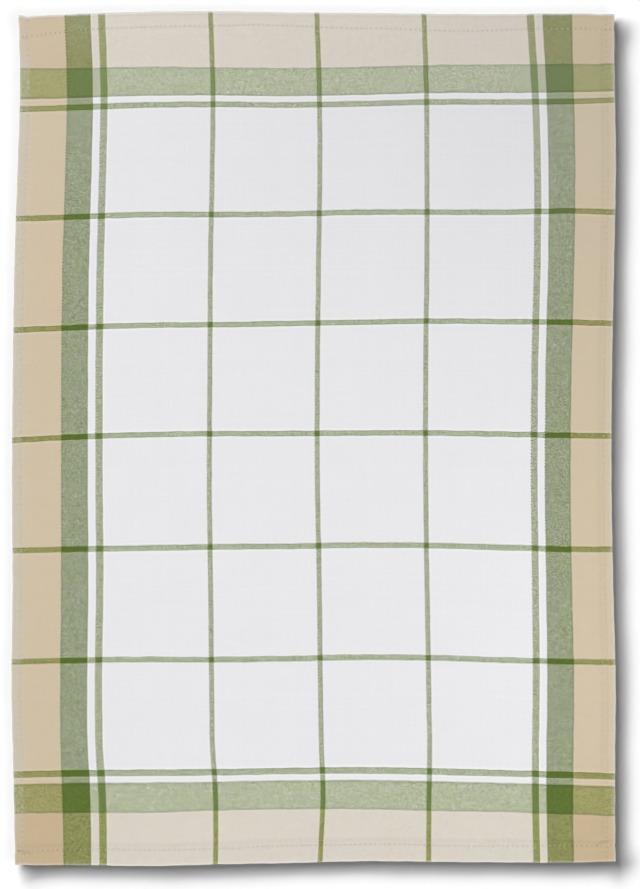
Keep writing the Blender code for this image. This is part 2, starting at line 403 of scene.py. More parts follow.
class TowelYarns(bpy.types.PropertyGroup):
    """Colours of the yarns, seen beside bleached white, and how they are woven."""

    white: colour_setting("White", "Colour of the bleached cloth", (0.754, 0.754, 0.769))
    green: colour_setting("Green", "Dye of the green warp bands", (0.194, 0.253, 0.048))
    line_green: colour_setting("Line Green", "Dye of the warp lines", (0.315, 0.365, 0.150))
    beige: colour_setting("Beige", "Dye of the beige warp", (0.710, 0.550, 0.305))
    ecru: colour_setting("Ecru", "Dye of the selvedge warp", (0.700, 0.618, 0.437))
    leaf: colour_setting("Leaf", "Dye of the green weft bands", (0.285, 0.358, 0.088))
    line_leaf: colour_setting("Line Leaf", "Dye of the weft lines", (0.180, 0.280, 0.010))
    sand: colour_setting("Sand", "Dye of the paler beige weft", (0.775, 0.675, 0.490))
    thread: colour_setting("Thread", "Colour of the sewing thread", (0.690, 0.630, 0.480))
    thread_end: colour_setting("Thread End", "Colour of the ends of thread", (0.200, 0.120, 0.050))
    warp_pitch: length_setting("Warp Pitch", "Spacing of the yarns down the towel", 0.62 * MM)
    weft_pitch: length_setting("Weft Pitch", "Spacing of the yarns across it", 0.9 * MM)
    under_warp: share_setting("Under Warp", "Weft colour seen through the warp", 0.26)
    under_weft: share_setting("Under Weft", "Warp colour seen through the weft", 0.56)
    cover: share_setting("Cover", "How far the selvedge's close warp hides the weft", 0.5)
    fade: share_setting("Fade", "How much paler the dyes are at the top end", 0.04)
    edge: share_setting("Edge", "How much darker a green stripe's edges look", 0.17)
    beside: share_setting("Beside", "How much paler the yarns beside a green stripe look", 0.06)
    soft: length_setting("Soft", "Run over which a stripe ends", 0.8 * MM)
    ecru_soft: length_setting("Ecru Soft", "Run over which the selvedge ends", 3.4 * MM)
    teeth: length_setting("Teeth", "How far a band's left edge steps in and out", 0.5 * MM)
    uneven: share_setting("Uneven", "How unevenly the green yarns took their dye", 1.4, top=4.0)
    heather: share_setting("Heather", "How unevenly one yarn covers the other", 2.075, top=4.0)
    patchy: share_setting("Patchy", "How much the greens shift from patch to patch", 0.35, top=4.0)
    worn_in: share_setting("Worn In", "How far the selvedge fades into the beige at an end", 0.6)
    crossing: share_setting("Crossing", "How much single crossings differ", 0.7, top=4.0)


class TowelStitches(bpy.types.PropertyGroup):
    """Sizes of the sewing."""

    end_pitch: length_setting("End Pitch", "Stitch length along the end hems", 4.1 * MM)
    side_pitch: length_setting("Side Pitch", "Stitch length along the side hems", 4.7 * MM)
    thread_width: length_setting("Thread Width", "Width of the thread as it lies", 0.24 * MM)
    thread_height: length_setting("Thread Height", "Height of the thread", 0.2 * MM)
    seen: share_setting("Seen", "Share of each stitch that shows", 0.62)
    # The darkness of the needle holes is painted shade
    end_hole_shade: share_setting("End Hole Shade", "How dark the end hems' needle holes are", 0.34)
    side_hole_shade: share_setting("Side Hole Shade", "How dark the side hems' needle holes are", 0.12)
    tacks: count_setting("Tacks", "Stitches sewn over again at a row's ends", 4)


class TowelStage(bpy.types.PropertyGroup):
    """The table, the camera and the lights."""

    scale: length_setting("Scale", "Real length that one pixel of the picture shows", 0.83 * MM)
    picture_width: count_setting("Picture Width", "Width of the picture in pixels", 640)
    picture_height: count_setting("Picture Height", "Height of the picture in pixels", 889)
    centre_across: plain_setting("Centre Across", "Pixel column of the towel's middle", 314.0)
    centre_down: plain_setting("Centre Down", "Pixel row of the towel's middle", 438.6)
    camera_height: length_setting("Camera Height", "Height of the camera", 1.9)
    table_colour: colour_setting("Table", "Colour of the table", (0.50, 0.50, 0.50))
    table_half: length_setting("Table Half", "Table's edge from the towel's middle", 30.0)
    surround: plain_setting("Surround", "Strength of the even light from all sides", 0.02)
    overhead: plain_setting("Overhead", "Strength of the wide light over the cloth", 3.40)
    low_light: plain_setting("Low Light", "Strength of the low lights on the table", 2.02)


# Heading, height and spread in degrees of the wide light over the cloth
OVERHEAD_LIGHT = (315.0, 80.0, 115.0)

# Fans of low lights that skim the table and draw the towel's soft shadow on it
SKIM_LIGHTS = (
    # name, heading, fan, count, height and spread in degrees, share of the table's light
    ("skim_front", 135.0, 62.0, 7, 8.3, 7.4, 0.85),
    ("skim_back", 315.0, 60.0, 4, 14.5, 12.0, 0.15),
)


# ---------------------------------------------------------------- shape of the cloth

def find_span(stations, at):
    """The span of rising stations that each place is in, and its share of it and width."""
    at = np.clip(at, stations[0], stations[-1])
    left = np.clip(np.searchsorted(stations, at) - 1, 0, len(stations) - 2)
    width = stations[left + 1] - stations[left]
    return left, (at - stations[left]) / width, width


def glide(t, width, start, end, start_slope, end_slope):
    """A smooth run over a span, from its values and slopes at both ends, at the share t."""
    ease = t * t * (3.0 - 2.0 * t)
    bend = t * (1.0 - t) * width
    return start * (1.0 - ease) + end * ease + bend * ((1.0 - t) * start_slope - t * end_slope)


def smooth_between(table, at):
    """Rows of a table, which are given by their stations, read smoothly at each place in at."""
    stations = np.array(sorted(table)) * MM
    values = np.array([table[station] for station in sorted(table)])
    slopes = np.gradient(values, stations, axis=0)
    left, t, width = find_span(stations, at)
    return glide(t[:, None], width[:, None], values[left], values[left + 1],
                 slopes[left], slopes[left + 1])


def smooth_across(columns, values, at):
    """For each row of values, given at rising columns, the smooth value at its place in at."""
    slopes = np.gradient(values, columns, axis=1)
    left, t, width = find_span(columns, at)
    row = np.arange(len(at))
    return glide(t, width, values[row, left], values[row, left + 1],
                 slopes[row, left], slopes[row, left + 1])


def drift(table, columns, section, place):
    """Drift in metres at each point, from its section and its place among the columns."""
    order = np.argsort(columns)
    rows = smooth_between(table, section)
    return smooth_across(np.array(columns)[order], rows[:, order], place) * MM


def wander(x, y):
    """Where points of the straight towel lie on the table, before it is centred."""
    shape = x.shape
    x, y = x.ravel(), y.ravel()
    side = drift(SIDE_DRIFT, SIDE_DRIFT_COLUMNS, y, x)
    end = drift(END_DRIFT, END_DRIFT_COLUMNS, x, y)
    return (x + side).reshape(shape), (y + end).reshape(shape)


def centre_shift():
    """What centres the wandering outline on the origin, as the solid is centred."""
    along = np.linspace(-FINISHED_LENGTH / 2, FINISHED_LENGTH / 2, 400)
    across = np.linspace(-FINISHED_WIDTH / 2, FINISHED_WIDTH / 2, 400)
    left, _ = wander(np.full(400, across[0]), along)
    right, _ = wander(np.full(400, across[-1]), along)
    _, foot = wander(across, np.full(400, along[0]))
    _, top = wander(across, np.full(400, along[-1]))
    return (left.min() + right.max()) / 2, (foot.min() + top.max()) / 2


def ease_step(value, start, end):
    """0 before start, 1 after end, and smooth between."""
    t = np.clip((value - start) / (end - start), 0.0, 1.0)
    return t * t * (3.0 - 2.0 * t)


def bell(off, reach):
    """1 where off is 0, falling away smoothly over this reach."""
    return np.exp(-((off / reach) ** 2))


def end_hem(x, top, cloth):
    """Depth of an end hem at each x, for the top end where top is 1 and the foot where it is 0."""
    drifts = smooth_between(ROW_DRIFT, x.ravel()).reshape(*x.shape, 2) * MM
    return np.where(top > 0.5, cloth.top_hem + drifts[..., 0], cloth.foot_hem + drifts[..., 1])


def hem_rise(inset, hem, cloth):
    """Share of the turned layers' bulk that is under the face at each inset."""
    return 1.0 - ease_step(inset, hem + RISE_START, hem + cloth.overlap + cloth.step)


def hem_section(segment, place, depth, stack, hem, cloth):
    """Cross-section of a hem: inset from its edge and height, for points of the cloth.

    place is the inset on the face, or the share of the segment on the turned layers. depth is
    the height within the cloth that is folded, and stack is that cloth's thickness.
    """
    single = 1.5 * cloth.layer
    turn = 1.5 * stack
    reach = hem + cloth.overlap + cloth.step
    inner = hem + cloth.overlap - stack
    squeeze_in = (reach - turn) / (reach - single)
    face = np.where(place < reach, turn + (place - single) * squeeze_in, place)
    face_height = 2.0 * stack * hem_rise(face, hem, cloth) + depth
    outer = 0.5 * stack + depth
    angle = math.pi * place
    choices = [segment == each for each in SEGMENTS]
    inset = np.select(choices, [
        face,
        turn - outer * np.sin(angle),
        turn + place * (inner - turn),
        inner + depth * np.sin(angle),
        inner - place * cloth.tuck,
    ])
    height = np.select(choices, [
        face_height,
        turn + outer * np.cos(angle),
        stack - depth,
        stack - depth * np.cos(angle),
        stack + depth,
    ])
    return inset, height * (1.0 - cloth.stitch_press * bell(inset - hem, PRESS_REACH))


def cloth_length(segment, place, hem, cloth):
    """Distance along the flat cloth from the finished edge: less than 0 is turned under."""
    turn = 1.5 * cloth.layer
    outer = math.pi * cloth.layer
    under = hem + cloth.overlap - cloth.layer - turn
    inner = math.pi * 0.5 * cloth.layer
    starts = (0.0, turn, turn - outer, turn - outer - under, turn - outer - under - inner)
    runs = (-1.0, outer, under, inner, cloth.tuck)
    choices = [segment == each for each in SEGMENTS]
    return np.select(choices, [start - run * place for start, run in zip(starts, runs)])


def waves(run, rows, offset=0.0):
    """Height of these waves along a run."""
    return sum(
        height * MM * np.sin(2 * math.pi * run / (length * MM) + phase + offset)
        for length, phase, height in rows
    )


def crease_height(x, y):
    height = np.zeros_like(x)
    for across, along, half_length, half_width, heading, top in CREASES:
        dx, dy = x - across * MM, y - along * MM
        turn = math.radians(heading)
        run = (dx * math.cos(turn) + dy * math.sin(turn)) / (half_length * MM)
        rise = (dy * math.cos(turn) - dx * math.sin(turn)) / (half_width * MM)
        height += top * MM * np.exp(-run * run - rise * rise)
    return height


def ripple_height(x, y):
    height = np.zeros_like(x)
    for heading, *wave in RIPPLES:
        turn = math.radians(heading)
        height += waves(x * math.cos(turn) + y * math.sin(turn), [wave]) + wave[-1] * MM
    return height


def pucker_height(along, inset, hem, offset):
    """Small waves along a hem, strongest at its stitches."""
    return bell(inset - hem, PUCKER_REACH) * waves(along, PUCKERS, offset)


def edge_nick(x, y, side_inset, end_inset, hem):
    """Small pulls of the sewing on the outline, outward in x and y."""
    flare = FLARE * (1.0 - ease_step(end_inset, 0.0, hem))
    flare = flare - PINCH * bell(end_inset - hem, PINCH_REACH) + waves(y, SIDE_WOBBLES)
    tab = np.where(x < 0, LEFT_TAB, RIGHT_TAB) * (1.0 - ease_step(side_inset, *TAB_SIDE))
    tab = (tab - DIP * bell(side_inset - DIP_INSET, DIP_REACH)) * (y > 0) + waves(x, END_WOBBLES)
    return (np.sign(x) * flare * bell(side_inset, SIDE_REACH),
            np.sign(y) * tab * bell(end_inset, END_REACH))


def place_cloth(across, along, depth, cloth):
    """Points of the towel, from two hem places and the depth in the cloth (0 back, 1 face).

    across and along are each (segment, place, far side): far side is 1 on the right or top
    half and 0 on the left or foot half. All arrays have the same shape.
    """
    segment, place, right = across
    layer = cloth.layer
    hem = np.full_like(place, cloth.side_hem)
    depth = layer * (0.5 + cloth.body * (depth - 0.5))
    side_inset, height = hem_section(segment, place, depth, layer, hem, cloth)
    stack = layer * (1.0 + 2.0 * hem_rise(side_inset, hem, cloth))

    x = np.where(right > 0.5, FINISHED_WIDTH / 2 - side_inset, side_inset - FINISHED_WIDTH / 2)
    segment, place, top = along
    hem = end_hem(x, top, cloth)
    near_end = 1.0 - ease_step(place, hem, hem + CORNER_REACH)
    near_end = np.where(segment == FACE, near_end, 1.0)
    press = 1.0 + (cloth.corner_press - 1.0) * near_end
    pressed = layer + (stack - layer) * press
    height = height * pressed / stack
    end_inset, height = hem_section(segment, place, height, pressed, hem, cloth)

    y = np.where(top > 0.5, FINISHED_LENGTH / 2 - end_inset, end_inset - FINISHED_LENGTH / 2)
    out_x, out_y = edge_nick(x, y, side_inset, end_inset, hem)
    shift_x, shift_y = centre_shift()
    wide, long = wander(x, y)
    wide += out_x - shift_x
    long += out_y - shift_y
    height = height + cloth.lift + crease_height(wide, long) + ripple_height(wide, long)
    height += PUCKER_LIFT + pucker_height(y, side_inset, cloth.side_hem, 1.3 * right)
    height += pucker_height(x, end_inset, hem, 2.1 * top)
    return np.stack([wide, long, height], axis=-1)


# ---------------------------------------------------------------- mesh of the cloth

def hem_places(hem, cloth):
    """Segment and place of each mesh line of a hem, from its raw edge to its face."""
    lines = [(TUCKED, share) for share in (1.0, 0.7, 0.35, 0.0)]
    lines += [(INNER_TURN, share) for share in (0.8, 0.6, 0.4, 0.2)]
    lines += [(UNDER, share) for share in (1.0, 0.85, 0.66, 0.33, 0.0)]
    lines += [(OUTER_TURN, share / 8) for share in range(7, 0, -1)]
    turn = 1.5 * cloth.layer
    reach = hem + cloth.overlap + cloth.step
    count = round((reach - turn) / cloth.fine_spacing)
    lines += [(FACE, place) for place in np.linspace(turn, reach, count + 1)]
    return lines


def mesh_lines(length, near_hem, far_hem, cloth):
    """Segment, place and far side of each mesh line, from edge to edge."""
    near, far = hem_places(near_hem, cloth), hem_places(far_hem, cloth)
    start, end = near[-1][1], length - far[-1][1]
    count = round((end - start) / cloth.spacing)
    middle = np.linspace(start, end, count + 1)[1:-1]
    lines = [(segment, place, 0.0) for segment, place in near]
    lines += [
        (FACE, place, 0.0) if place < length / 2 else (FACE, length - place, 1.0)
        for place in middle
    ]
    lines += [(segment, place, 1.0) for segment, place in far[::-1]]
    return [np.array(column, dtype=float) for column in zip(*lines)]


def flat_place(line, length, hem, cloth):
    """Place on the flat cloth, from its middle, of points on these mesh lines."""
    segment, place, far_side = line
    flat = cloth_length(segment, place, hem, cloth)
    return np.where(far_side > 0.5, length / 2 - flat, flat - length / 2)


def grid_faces(rows, columns, first, flip):
    """Four corners of each face of a grid of points, as one array."""
    r, c = np.meshgrid(np.arange(rows - 1), np.arange(columns - 1), indexing="ij")
    a = first + r * columns + c
    corners = np.stack([a, a + 1, a + columns + 1, a + columns], axis=-1).reshape(-1, 4)
    return corners[:, ::-1] if flip else corners


def rim_faces(rows, columns):
    """Faces that close the sheet along its raw edge, between its two grids of points."""
    index = np.arange(rows * columns).reshape(rows, columns)
    ring = np.concatenate([index[0, :-1], index[:-1, -1], index[-1, :0:-1], index[:0:-1, 0]])
    after = np.roll(ring, -1)
    back = rows * columns
    return np.stack([ring, ring + back, after + back, after], axis=-1)


def bake_places(corners, flat_x, flat_y, grid_size):
    """A map with most of its room for the face, a smaller copy for the back, and the rim."""
    face_share, gap, rim = 0.70, 0.006, 0.002
    width, length = np.ptp(flat_x), np.ptp(flat_y)
    u = (flat_x - flat_x.min()) / width
    v = (flat_y - flat_y.min()) / length
    on_back = corners >= grid_size
    base = corners % grid_size
    back_wide = 1.0 - face_share - 2 * gap
    back_long = back_wide / face_share
    places = np.stack([u[base] * face_share * (1 - 2 * rim) + rim * face_share,
                       v[base] * (1 - 2 * rim) + rim], axis=-1)
    back = np.stack([face_share + gap + u[base] * back_wide, gap + v[base] * back_long], axis=-1)
    whole_back = on_back.all(axis=1)
    places[whole_back] = back[whole_back]
    mixed = on_back.any(axis=1) & ~whole_back
    middle = np.array([face_share / 2, 0.5])
    outward = np.sign(places[mixed] - middle) * rim
    outward *= np.abs(places[mixed] - middle) > middle - 2 * rim
    places[mixed] += np.where(on_back[mixed][..., None], outward, 0.0)
    return places


def lay_map(mesh, name, places):
    mesh.uv_layers.new(name=name).data.foreach_set("uv", np.ravel(places))


def mark_points(mesh, name, values):
    mesh.attributes.new(name, "FLOAT", "POINT").data.foreach_set("value", values)


def build_cloth_mesh(cloth):
    deepest_top, deepest_foot = np.max(list(ROW_DRIFT.values()), axis=0) * MM
    across = mesh_lines(FINISHED_WIDTH, cloth.side_hem, cloth.side_hem, cloth)
    along = mesh_lines(FINISHED_LENGTH, cloth.foot_hem + deepest_foot,
                       cloth.top_hem + deepest_top, cloth)
    columns, rows = len(across[0]), len(along[0])
    across = [np.tile(values, (rows, 1)) for values in across]
    along = [np.tile(values[:, None], (1, columns)) for values in along]
    face = place_cloth(across, along, 1.0, cloth)
    back = place_cloth(across, along, 0.0, cloth)
    grid_size = rows * columns
    points = np.concatenate([face.reshape(-1, 3), back.reshape(-1, 3)])
    corners = np.concatenate([
        grid_faces(rows, columns, 0, False),
        grid_faces(rows, columns, grid_size, True),
        rim_faces(rows, columns),
    ])
    mesh = bpy.data.meshes.new("towel_cloth")
    mesh.from_pydata(points.tolist(), [], corners.tolist())
    flat_x = flat_place(across, FINISHED_WIDTH, cloth.side_hem, cloth)
    hem = end_hem(flat_x, along[2], cloth)
    flat_y = flat_place(along, FINISHED_LENGTH, hem, cloth)
    off_row = hem - FINISHED_LENGTH / 2 + np.abs(flat_y)
    flat_x, flat_y = flat_x.ravel(), flat_y.ravel()
    base = corners % grid_size
    lay_map(mesh, "cloth_plan", np.stack([flat_x[base], flat_y[base]], axis=-1))
    lay_map(mesh, "OFBake", bake_places(corners, flat_x, flat_y, grid_size))
    mark_points(mesh, "face_side", np.repeat([1.0, 0.0], grid_size))
    mark_points(mesh, "off_end_row", np.tile(off_row.ravel(), 2))
    mesh.shade_smooth()
    mesh.validate()
    return mesh, (float(np.ptp(flat_x)), float(np.ptp(flat_y)))


# ---------------------------------------------------------------- stitches

def stitch_row(end, pitch, tacks):
    """Places along a row of stitches from -end to end, with its ends sewn over again."""
    count = math.floor(end / pitch)
    places = [(i + 0.5) * pitch for i in range(-count, count)]
    for side in (-1.0, 1.0):
        places += [side * (count - i) * pitch for i in range(1, tacks + 1)]
    return np.array(places)


def row_points(x, y, cloth, underside):
    """Points on the face, or on the turned layer under it, over straight positions x, y.

    underside is None for the face, and otherwise the name of the hem's edge: side or end.
    """
    top = (y > 0).astype(float)
    across = [np.zeros_like(x), FINISHED_WIDTH / 2 - np.abs(x), (x > 0).astype(float)]
    along = [np.zeros_like(y), FINISHED_LENGTH / 2 - np.abs(y), top]
    if underside:
        turned = across if underside == "side" else along
        hem = cloth.side_hem if underside == "side" else end_hem(x, top, cloth)
        turn = 1.5 * cloth.layer
        inner = hem + cloth.overlap - cloth.layer
        turned[0] = np.full_like(turned[0], UNDER)
        turned[1] = (turned[1] - turn) / (inner - turn)
    return place_cloth(across, along, np.ones_like(x), cloth)


STITCH_RINGS = (
    # place along the stitch, lift, width: as shares
    (-1.00, -0.70, 0.45),
    (-0.72, 0.25, 0.90),
    (0.00, 0.55, 1.00),
    (0.72, 0.25, 0.90),
    (1.00, -0.70, 0.45),
)
STITCH_SIDES = 6

# How unevenly the stitches lie: their places, lean and length as shares of a stitch, and how
# far they are off their row
PLACE_SPREAD, LEAN, LEAN_SPREAD, LENGTH_SPREAD = 0.03, 0.05, 0.04, 0.06
ROW_SPREAD = 0.09 * MM
SEWING_SEED = 5

# How far a row stops short of the towel's edge, and of the end hems on the underside
ROW_MARGIN, UNDERSIDE_MARGIN = 1.6 * MM, 6.0 * MM


def sew(parts, surface, half, lean, face_up, sewing, material):
    """Adds stitches: surface gives their points for a run along them and an offset aside."""
    small = 0.1 * MM
    tangent = surface(small, 0.0) - surface(-small, 0.0)
    tangent /= np.linalg.norm(tangent, axis=1, keepdims=True)
    sideways = surface(0.0, small) - surface(0.0, -small)
    sideways /= np.linalg.norm(sideways, axis=1, keepdims=True)
    up = np.cross(tangent, sideways)
    up /= np.linalg.norm(up, axis=1, keepdims=True)
    up[(up[:, 2] > 0) != face_up] *= -1

    rings = []
    for share, lift, width in STITCH_RINGS:
        centre = surface(share * half, share * lean)
        centre = centre + up * (lift * 0.5 * sewing.thread_height)
        for side in range(STITCH_SIDES):
            angle = 2 * math.pi * side / STITCH_SIDES
            wide = 0.5 * sewing.thread_width * width * math.cos(angle)
            high = 0.5 * sewing.thread_height * width * math.sin(angle)
            rings.append(centre + sideways * wide + up * high)
    parts.append((np.stack(rings, axis=1), material))


def add_row(parts, row, places, edge, underside, sewing, cloth, random):
    """Adds a row of stitches at these places along an edge: row gives its line there."""
    pitch = sewing.side_pitch if edge == "side" else sewing.end_pitch
    count = len(places)
    places = places + random.normal(0.0, PLACE_SPREAD * pitch, count)
    aside = random.normal(0.0, ROW_SPREAD, count)
    lean = random.normal(LEAN, LEAN_SPREAD, count) * pitch
    half = 0.5 * sewing.seen * pitch * (1.0 + random.normal(0.0, LENGTH_SPREAD, count))

    def surface(run, off):
        line = places + run
        wide = row(line) + aside + off
        x, y = (wide, line) if edge == "side" else (line, wide)
        return row_points(x, y, cloth, edge if underside else None)

    sew(parts, surface, half, lean, not underside, sewing, 0)


def add_thread_ends(parts, sewing, cloth):
    x, y, heading, long = np.array(THREAD_ENDS).T
    x, y, half, turn = x * MM, y * MM, long / 2 * MM, np.radians(heading)

    def surface(run, off):
        along_x = x + run * np.cos(turn) - off * np.sin(turn)
        along_y = y + run * np.sin(turn) + off * np.cos(turn)
        return row_points(along_x, along_y, cloth, None)

    sew(parts, surface, half, np.zeros_like(half), True, sewing, 1)


def stitch_faces():
    """Faces of one stitch, by the number of its points, and their places on the thread."""
    sides, rings = STITCH_SIDES, len(STITCH_RINGS)
    faces, places = [], []
    for ring in range(rings - 1):
        for side in range(sides):
            after = (side + 1) % sides
            low, high = ring * sides, (ring + 1) * sides
            faces.append((low + side, low + after, high + after, high + side))
            u0, u1 = ring / (rings - 1), (ring + 1) / (rings - 1)
            v0, v1 = side / sides, (side + 1) / sides
            places.append(((u0, v0), (u0, v1), (u1, v1), (u1, v0)))
    return faces, places


def build_stitch_mesh(cloth, sewing):
    random = np.random.default_rng(SEWING_SEED)
    parts = []
    side, end = FINISHED_WIDTH / 2, FINISHED_LENGTH / 2
    across = stitch_row(side - ROW_MARGIN, sewing.end_pitch, sewing.tacks)
    along = stitch_row(end - ROW_MARGIN, sewing.side_pitch, 0)
    for underside in (False, True):
        for top in (1.0, 0.0):
            def end_row(x, top=top):
                return (2 * top - 1) * (end - end_hem(x, np.full_like(x, top), cloth))

            add_row(parts, end_row, across, "end", underside, sewing, cloth, random)
        if underside:
            along = along[np.abs(along) < end - cloth.foot_hem - UNDERSIDE_MARGIN]
        for line in (side - cloth.side_hem, cloth.side_hem - side):
            def side_row(y, line=line):
                return np.full_like(y, line)

            add_row(parts, side_row, along, "side", underside, sewing, cloth, random)
    add_thread_ends(parts, sewing, cloth)
    sides, rings = STITCH_SIDES, len(STITCH_RINGS)
    size = sides * rings
    points = np.concatenate([part[0].reshape(-1, 3) for part in parts])
    faces, places = stitch_faces()
    corners, plan, materials = [], [], []
    dyes = [material for stitches, material in parts for _ in stitches]
    for stitch, material in enumerate(dyes):
        start = stitch * size
        corners += [tuple(start + i for i in face) for face in faces]
        plan += [(u + stitch, v) for face in places for u, v in face]
        corners.append(tuple(range(start + sides - 1, start - 1, -1)))
        corners.append(tuple(range(start + size - sides, start + size)))
        plan += [(stitch, i / sides) for i in range(2 * sides)]
        materials += [material] * (len(faces) + 2)
    mesh = bpy.data.meshes.new("hem_stitches")
    mesh.from_pydata(points.tolist(), [], corners)
    mesh.polygons.foreach_set("material_index", materials)
    lay_map(mesh, "thread_lay", plan)
    mesh.shade_smooth()
    mesh.validate()
    return mesh


# ---------------------------------------------------------------- shader building

class Value:
    """A node's output that can stand in a sum: each step of the sum adds a Math node."""

    def __init__(self, nodes, socket):
        self.nodes = nodes
        self.socket = socket

    def __add__(self, other):
        return self.nodes.maths("ADD", self, other)

    def __sub__(self, other):
        return self.nodes.maths("SUBTRACT", self, other)

    def __rsub__(self, other):
        return self.nodes.maths("SUBTRACT", other, self)

    def __mul__(self, other):
        return self.nodes.maths("MULTIPLY", self, other)

    def __truediv__(self, other):
        return self.nodes.maths("DIVIDE", self, other)

    def __abs__(self):
        return self.nodes.maths("ABSOLUTE", self)

    __radd__, __rmul__ = __add__, __mul__


class Nodes:
    """Adds nodes to a tree and joins them. Inputs may be numbers, colours or Values."""

    def __init__(self, tree):
        self.tree = tree
        self.count = 0

    def add(self, kind, inputs=None, **settings):
        """Adds a node and feeds its inputs, which are given by name or number."""
        node = self.tree.nodes.new(kind)
        node.location = (self.count * 40, -(self.count % 9) * 170)
        self.count += 1
        for name, value in settings.items():
            setattr(node, name, value)
        for name, value in (inputs or {}).items():
            self.feed(node.inputs[name], value)
        return node

    def feed(self, socket, value):
        if isinstance(value, Value):
            self.tree.links.new(value.socket, socket)
        elif socket.type == "RGBA":
            socket.default_value = (*tuple(value)[:3], 1.0)
        else:
            socket.default_value = value

    def value(self, kind, inputs=None, output=0, **settings):
        """An output of a new node."""
        return Value(self, self.add(kind, inputs, **settings).outputs[output])

    def maths(self, operation, *values, clamp=False):
        return self.value("ShaderNodeMath", dict(enumerate(values)),
                          operation=operation, use_clamp=clamp)

    def blend(self, share, under, over, kind="MIX"):
        """Two colours blended. The sockets of colours are numbers 6 and 7, and 2 comes out."""
        return self.value("ShaderNodeMix", {"Factor": share, 6: under, 7: over}, 2,
                          data_type="RGBA", blend_type=kind)

    def tint(self, colour, by, share=1.0):
        return self.blend(share, colour, by, "MULTIPLY")

    def point(self, x, y, z=0.0):
        return self.value("ShaderNodeCombineXYZ", {0: x, 1: y, 2: z})

    def grey(self, tone):
        return self.point(tone, tone, tone)

    def noise(self, vector, scale, detail):
        return self.value("ShaderNodeTexNoise",
                          {"Vector": vector, "Scale": scale, "Detail": detail},
                          noise_dimensions="3D")

    def chance(self, number):
        """A random share for each number."""
        return self.value("ShaderNodeTexWhiteNoise", {"W": number}, "Value",
                          noise_dimensions="1D")

    def ramp(self, value, start, end, top=1.0):
        """0 before start, top after end, and smooth between."""
        inputs = {"Value": value, "From Min": start, "From Max": end, "To Max": top}
        return self.value("ShaderNodeMapRange", inputs, interpolation_type="SMOOTHSTEP")

    def hump(self, off, aside=0.0):
        """1 where both are 0, and falling away smoothly round it."""
        far = off * off
        if isinstance(aside, Value):
            far = far + aside * aside
        return self.maths("EXPONENT", far * -1.0)

    def places(self, uv_map):
        """Both places of a point on a map of the mesh."""
        split = self.add("ShaderNodeSeparateXYZ", {0: self.value("ShaderNodeUVMap", uv_map=uv_map)})
        return Value(self, split.outputs[0]), Value(self, split.outputs[1])

    def attribute(self, name):
        return self.value("ShaderNodeAttribute", output="Fac", attribute_name=name)

    def group(self, tree, **inputs):
        """Places a shader group and gives its outputs by name."""
        inputs = {title(name): value for name, value in inputs.items()}
        node = self.add("ShaderNodeGroup", inputs, node_tree=tree)
        return SimpleNamespace(**{
            socket.name.lower().replace(" ", "_"): Value(self, socket) for socket in node.outputs
        })


def title(name):
    """A setting's name as its sockets show it."""
    return name.replace("_", " ").title()


def new_group(name, **inputs):
    """The nodes of an empty shader group, and its inputs, which have these defaults."""
    tree = bpy.data.node_groups.new(name, "ShaderNodeTree")
    for label, default in inputs.items():
        kind = "NodeSocketFloat" if isinstance(default, float) else "NodeSocketColor"
        socket = tree.interface.new_socket(title(label), in_out="INPUT", socket_type=kind)
        socket.default_value = default
    n = Nodes(tree)
    entry = n.add("NodeGroupInput")
    return n, [Value(n, entry.outputs[title(label)]) for label in inputs]


def close_group(n, **results):
    """Gives a group its named outputs, and what each puts out."""
    for name in results:
        kind = "NodeSocketColor" if name == "colour" else "NodeSocketFloat"
        n.tree.interface.new_socket(title(name), in_out="OUTPUT", socket_type=kind)
    n.add("NodeGroupOutput", {title(name): value for name, value in results.items()})
    return n.tree


def plain_weave_group():
    """Crossings of a plain weave: which yarn is on top, how high it stands, its number."""
    n, (across, along, warp_pitch, weft_pitch, bias, crossing) = new_group(
        "Plain Weave", across=0.0, along=0.0, warp_pitch=0.001, weft_pitch=0.001,
        warp_bias=0.0, crossing=0.0,
    )

    def yarn(place, pitch):
        """Number and centre of the yarn at a place, and its crown and round body there."""
        count = place / pitch
        number = n.maths("FLOOR", count)
        off = count - number - 0.5
        crown = n.maths("COSINE", off * math.pi)
        body = n.maths("SQRT", 1.0 - off * off * YARN_ROUND)
        return number, (number + 0.5) * pitch, crown * YARN_WAVE, body * YARN_BODY

    warp_yarn, warp_centre, warp_crown, warp_body = yarn(across, warp_pitch)
    weft_yarn, weft_centre, weft_crown, weft_body = yarn(along, weft_pitch)
    over = 1.0 - n.maths("FLOORED_MODULO", warp_yarn + weft_yarn, 2.0) * 2.0
    odd = n.value("ShaderNodeTexWhiteNoise", {"Vector": n.point(warp_yarn, weft_yarn)}, "Value",
                  noise_dimensions="2D") - 0.5
    warp = warp_body + over * weft_crown + bias + odd * crossing
    weft = weft_body - over * warp_crown
    return close_group(
        n,
        warp_on_top=n.maths("ADD", (warp - weft) * YARN_EDGE, 0.5, clamp=True),
        height=n.maths("MAXIMUM", warp, weft),
        warp_yarn=warp_yarn, weft_yarn=weft_yarn,
        warp_centre=warp_centre, weft_centre=weft_centre,
    )


